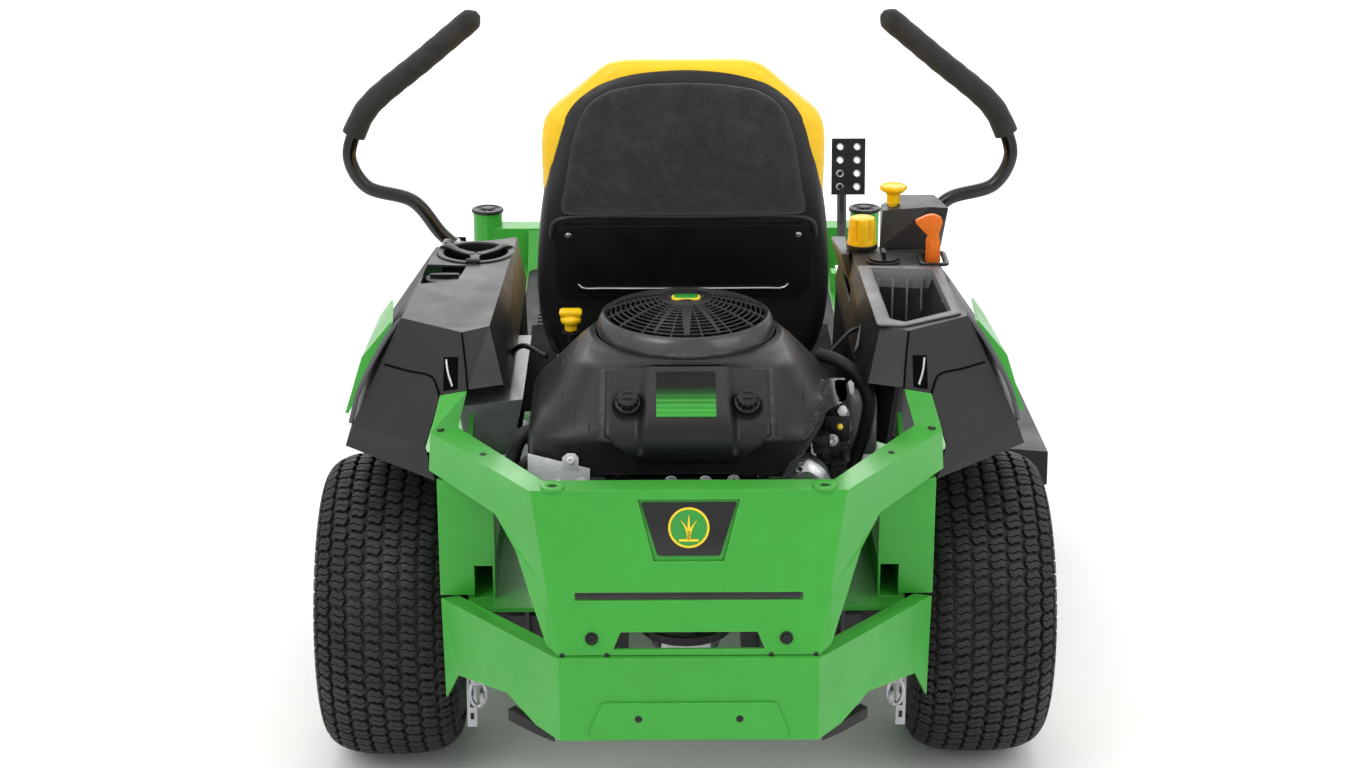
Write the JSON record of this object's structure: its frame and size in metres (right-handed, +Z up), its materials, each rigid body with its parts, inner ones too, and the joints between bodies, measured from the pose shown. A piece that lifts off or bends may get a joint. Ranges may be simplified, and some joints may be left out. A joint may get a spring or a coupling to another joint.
{
  "type": "riding lawn mower",
  "caption": "Zero-turn riding mower: steel frame, rear engine behind the seat, drive wheels, front casters, twin steering levers and a mid-mounted cutting deck.",
  "frame": {"origin": "on the ground, at the bottom centre of the box round the whole machine with the chute down; the middle of the rear axle is 49.2 mm to the left and 396.2 mm behind it", "axes": "+Z up, +Y forward, +X to the machine's right"},
  "size_m": [1.1976, 1.8044, 1.055],
  "materials": {
    "green_paint": "gloss green powder coat",
    "black_paint": "satin black",
    "black_plastic": "textured moulded black",
    "grey_plastic": "smooth grey",
    "yellow_plastic": "moulded yellow",
    "orange_plastic": "moulded orange",
    "yellow_paint": "gloss yellow wheel paint",
    "tyre": "moulded turf tread",
    "rubber": "foam grip and belt rubber",
    "vinyl": "embossed yellow vinyl",
    "felt": "brushed black backing fabric",
    "steel": "zinc plated",
    "cast": "cast"
  },
  "bodies": {
    "chassis": {"main_frame": "green_paint", "rear_guard": "green_paint", "rear_bumper": "green_paint", "left_fender": "black_plastic", "right_fender": "black_plastic", "left_fender_trim": "green_paint", "right_fender_trim": "green_paint", "control_panel": "black_plastic", "floor_pan": "green_paint", "seat_base": "black_paint", "fuel_tank": "grey_plastic", "battery": "black_plastic", "left_transaxle": "black_paint", "right_transaxle": "black_paint", "traction_belt": "rubber", "engine_block": "cast", "engine_shroud": "black_plastic", "fan_guard": "black_plastic", "air_filter_cover": "black_plastic", "muffler": "black_paint"},
    "crankshaft": {"cooling_fan": "black_plastic", "crank_pulley": "steel"},
    "deck": {"mower_deck": "green_paint", "deck_belt": "rubber"},
    "chute": {"discharge_chute": "black_plastic"},
    "lift_pedal": {"lift_pedal": "black_paint"},
    "seat_tilt": {"seat_pan": "black_paint"},
    "seat": {"seat_cushion": "vinyl", "seat_back": "vinyl", "seat_back_panel": "black_plastic"},
    "pto_knob": {"pto_knob": "yellow_plastic"},
    "throttle": {"throttle_lever": "orange_plastic"},
    "height_knob": {"height_knob": "yellow_plastic"},
    "ignition_key": {"ignition_key": "black_plastic"},
    "fuel_cap": {"fuel_cap": "black_plastic"},
    "dipstick": {"dipstick": "yellow_plastic"},
    "left_drive_wheel": {"left_drive_tyre": "tyre", "left_drive_rim": "yellow_paint"},
    "left_caster": {"left_caster_fork": "green_paint"},
    "left_caster_wheel": {"left_caster_tyre": "tyre", "left_caster_rim": "yellow_paint"},
    "left_hydro_input": {"left_input_pulley": "steel"},
    "left_spindle": {"left_blade": "steel"},
    "left_arm": {"left_lever_bracket": "black_paint"},
    "left_lever": {"left_control_lever": "black_paint", "left_grip": "rubber"},
    "left_filter_knob": {"left_filter_knob": "black_plastic"},
    "left_bypass_rod": {"left_bypass_rod": "steel"},
    "right_drive_wheel": {"right_drive_tyre": "tyre", "right_drive_rim": "yellow_paint"},
    "right_caster": {"right_caster_fork": "green_paint"},
    "right_caster_wheel": {"right_caster_tyre": "tyre", "right_caster_rim": "yellow_paint"},
    "right_hydro_input": {"right_input_pulley": "steel"},
    "right_spindle": {"right_blade": "steel"},
    "right_arm": {"right_lever_bracket": "black_paint"},
    "right_lever": {"right_control_lever": "black_paint", "right_grip": "rubber"},
    "right_filter_knob": {"right_filter_knob": "black_plastic"},
    "right_bypass_rod": {"right_bypass_rod": "steel"}
  },
  "joints": [
    {"name": "crank_spin", "type": "hinge", "parent": "chassis", "child": "crankshaft", "pos_m": [-0.04919, -0.55725, 0.6], "axis": [0, 0, 1], "continuous": true},
    {"name": "deck_lift", "type": "slide", "parent": "chassis", "child": "deck", "axis": [0, 0, 1], "range_m": [-0.075, 0], "stiffness_N_per_m": 4000},
    {"name": "pedal_rock", "type": "hinge", "parent": "chassis", "child": "lift_pedal", "pos_m": [0.26381, 0.61775, 0.428], "axis": [1, 0, 0], "range_deg": [0, 18]},
    {"name": "chute_hinge", "type": "hinge", "parent": "deck", "child": "chute", "pos_m": [0.50881, 0.41375, 0.231], "axis": [0, -1, 0], "range_deg": [0, 75]},
    {"name": "seat_tilt", "type": "hinge", "parent": "chassis", "child": "seat_tilt", "pos_m": [-0.04919, 0.19375, 0.489], "axis": [-1, 0, 0], "range_deg": [0, 55]},
    {"name": "seat_slide", "type": "slide", "parent": "seat_tilt", "child": "seat", "axis": [0, 1, 0], "range_m": [0, 0.08]},
    {"name": "pto_pull", "type": "slide", "parent": "chassis", "child": "pto_knob", "axis": [0, 0, 1], "range_m": [0, 0.012]},
    {"name": "throttle_tilt", "type": "hinge", "parent": "chassis", "child": "throttle", "pos_m": [0.33981, -0.14225, 0.686], "axis": [1, 0, 0], "range_deg": [-22, 22]},
    {"name": "height_turn", "type": "hinge", "parent": "chassis", "child": "height_knob", "pos_m": [0.23481, -0.07625, 0.7], "axis": [0, 0, 1], "range_deg": [-150, 150]},
    {"name": "key_turn", "type": "hinge", "parent": "chassis", "child": "ignition_key", "pos_m": [0.26281, -0.14625, 0.691], "axis": [0, 0, 1], "range_deg": [-75, 0]},
    {"name": "fuel_cap_turn", "type": "hinge", "parent": "chassis", "child": "fuel_cap", "pos_m": [-0.41119, -0.22825, 0.67], "axis": [0, 0, 1], "range_deg": [0, 90]},
    {"name": "dipstick_pull", "type": "slide", "parent": "chassis", "child": "dipstick", "axis": [0, 0, 1], "range_m": [0, 0.13]},
    {"name": "left_drive_spin", "type": "hinge", "parent": "chassis", "child": "left_drive_wheel", "pos_m": [-0.48519, -0.39625, 0.2285], "axis": [1, 0, 0], "continuous": true},
    {"name": "left_caster_swivel", "type": "hinge", "parent": "chassis", "child": "left_caster", "pos_m": [-0.41319, 0.81775, 0.3], "axis": [0, 0, 1], "continuous": true},
    {"name": "left_caster_spin", "type": "hinge", "parent": "left_caster", "child": "left_caster_wheel", "pos_m": [-0.41319, 0.76275, 0.1395], "axis": [1, 0, 0], "continuous": true},
    {"name": "left_hydro_spin", "type": "hinge", "parent": "chassis", "child": "left_hydro_input", "pos_m": [-0.21419, -0.39125, 0.316], "axis": [0, 0, 1], "continuous": true},
    {"name": "left_blade_spin", "type": "hinge", "parent": "deck", "child": "left_spindle", "pos_m": [-0.31119, 0.26375, 0.2], "axis": [0, 0, 1], "continuous": true},
    {"name": "left_arm_drive", "type": "hinge", "parent": "chassis", "child": "left_arm", "pos_m": [-0.41919, 0.09875, 0.598], "axis": [-1, 0, 0], "range_deg": [-12, 18]},
    {"name": "left_lever_swing", "type": "hinge", "parent": "left_arm", "child": "left_lever", "pos_m": [-0.41919, 0.09875, 0.64], "axis": [0, -1, 0], "range_deg": [-25, 0]},
    {"name": "left_filter_knob_turn", "type": "hinge", "parent": "chassis", "child": "left_filter_knob", "pos_m": [-0.12919, -0.73425, 0.674], "axis": [0, -0.6594, 0.7518], "range_deg": [0, 90]},
    {"name": "left_bypass_pull", "type": "slide", "parent": "chassis", "child": "left_bypass_rod", "axis": [0, -1, 0], "range_m": [0, 0.025]},
    {"name": "right_drive_spin", "type": "hinge", "parent": "chassis", "child": "right_drive_wheel", "pos_m": [0.38681, -0.39625, 0.2285], "axis": [1, 0, 0], "continuous": true},
    {"name": "right_caster_swivel", "type": "hinge", "parent": "chassis", "child": "right_caster", "pos_m": [0.31481, 0.81775, 0.3], "axis": [0, 0, 1], "continuous": true},
    {"name": "right_caster_spin", "type": "hinge", "parent": "right_caster", "child": "right_caster_wheel", "pos_m": [0.31481, 0.76275, 0.1395], "axis": [1, 0, 0], "continuous": true},
    {"name": "right_hydro_spin", "type": "hinge", "parent": "chassis", "child": "right_hydro_input", "pos_m": [0.11581, -0.39125, 0.316], "axis": [0, 0, 1], "continuous": true},
    {"name": "right_blade_spin", "type": "hinge", "parent": "deck", "child": "right_spindle", "pos_m": [0.21281, 0.26375, 0.2], "axis": [0, 0, 1], "continuous": true},
    {"name": "right_arm_drive", "type": "hinge", "parent": "chassis", "child": "right_arm", "pos_m": [0.32081, 0.09875, 0.598], "axis": [-1, 0, 0], "range_deg": [-12, 18]},
    {"name": "right_lever_swing", "type": "hinge", "parent": "right_arm", "child": "right_lever", "pos_m": [0.32081, 0.09875, 0.64], "axis": [0, 1, 0], "range_deg": [-25, 0]},
    {"name": "right_filter_knob_turn", "type": "hinge", "parent": "chassis", "child": "right_filter_knob", "pos_m": [0.03081, -0.73425, 0.674], "axis": [0, -0.6594, 0.7518], "range_deg": [0, 90]},
    {"name": "right_bypass_pull", "type": "slide", "parent": "chassis", "child": "right_bypass_rod", "axis": [0, -1, 0], "range_m": [0, 0.025]}
  ],
  "couplings": [
    {"joint": "pedal_rock", "follows": "deck_lift", "rad_per_m": -4},
    {"joint": "left_hydro_spin", "follows": "crank_spin", "ratio": 0.8276},
    {"joint": "right_hydro_spin", "follows": "crank_spin", "ratio": 0.8276},
    {"joint": "right_blade_spin", "follows": "left_blade_spin", "ratio": 1}
  ]
}
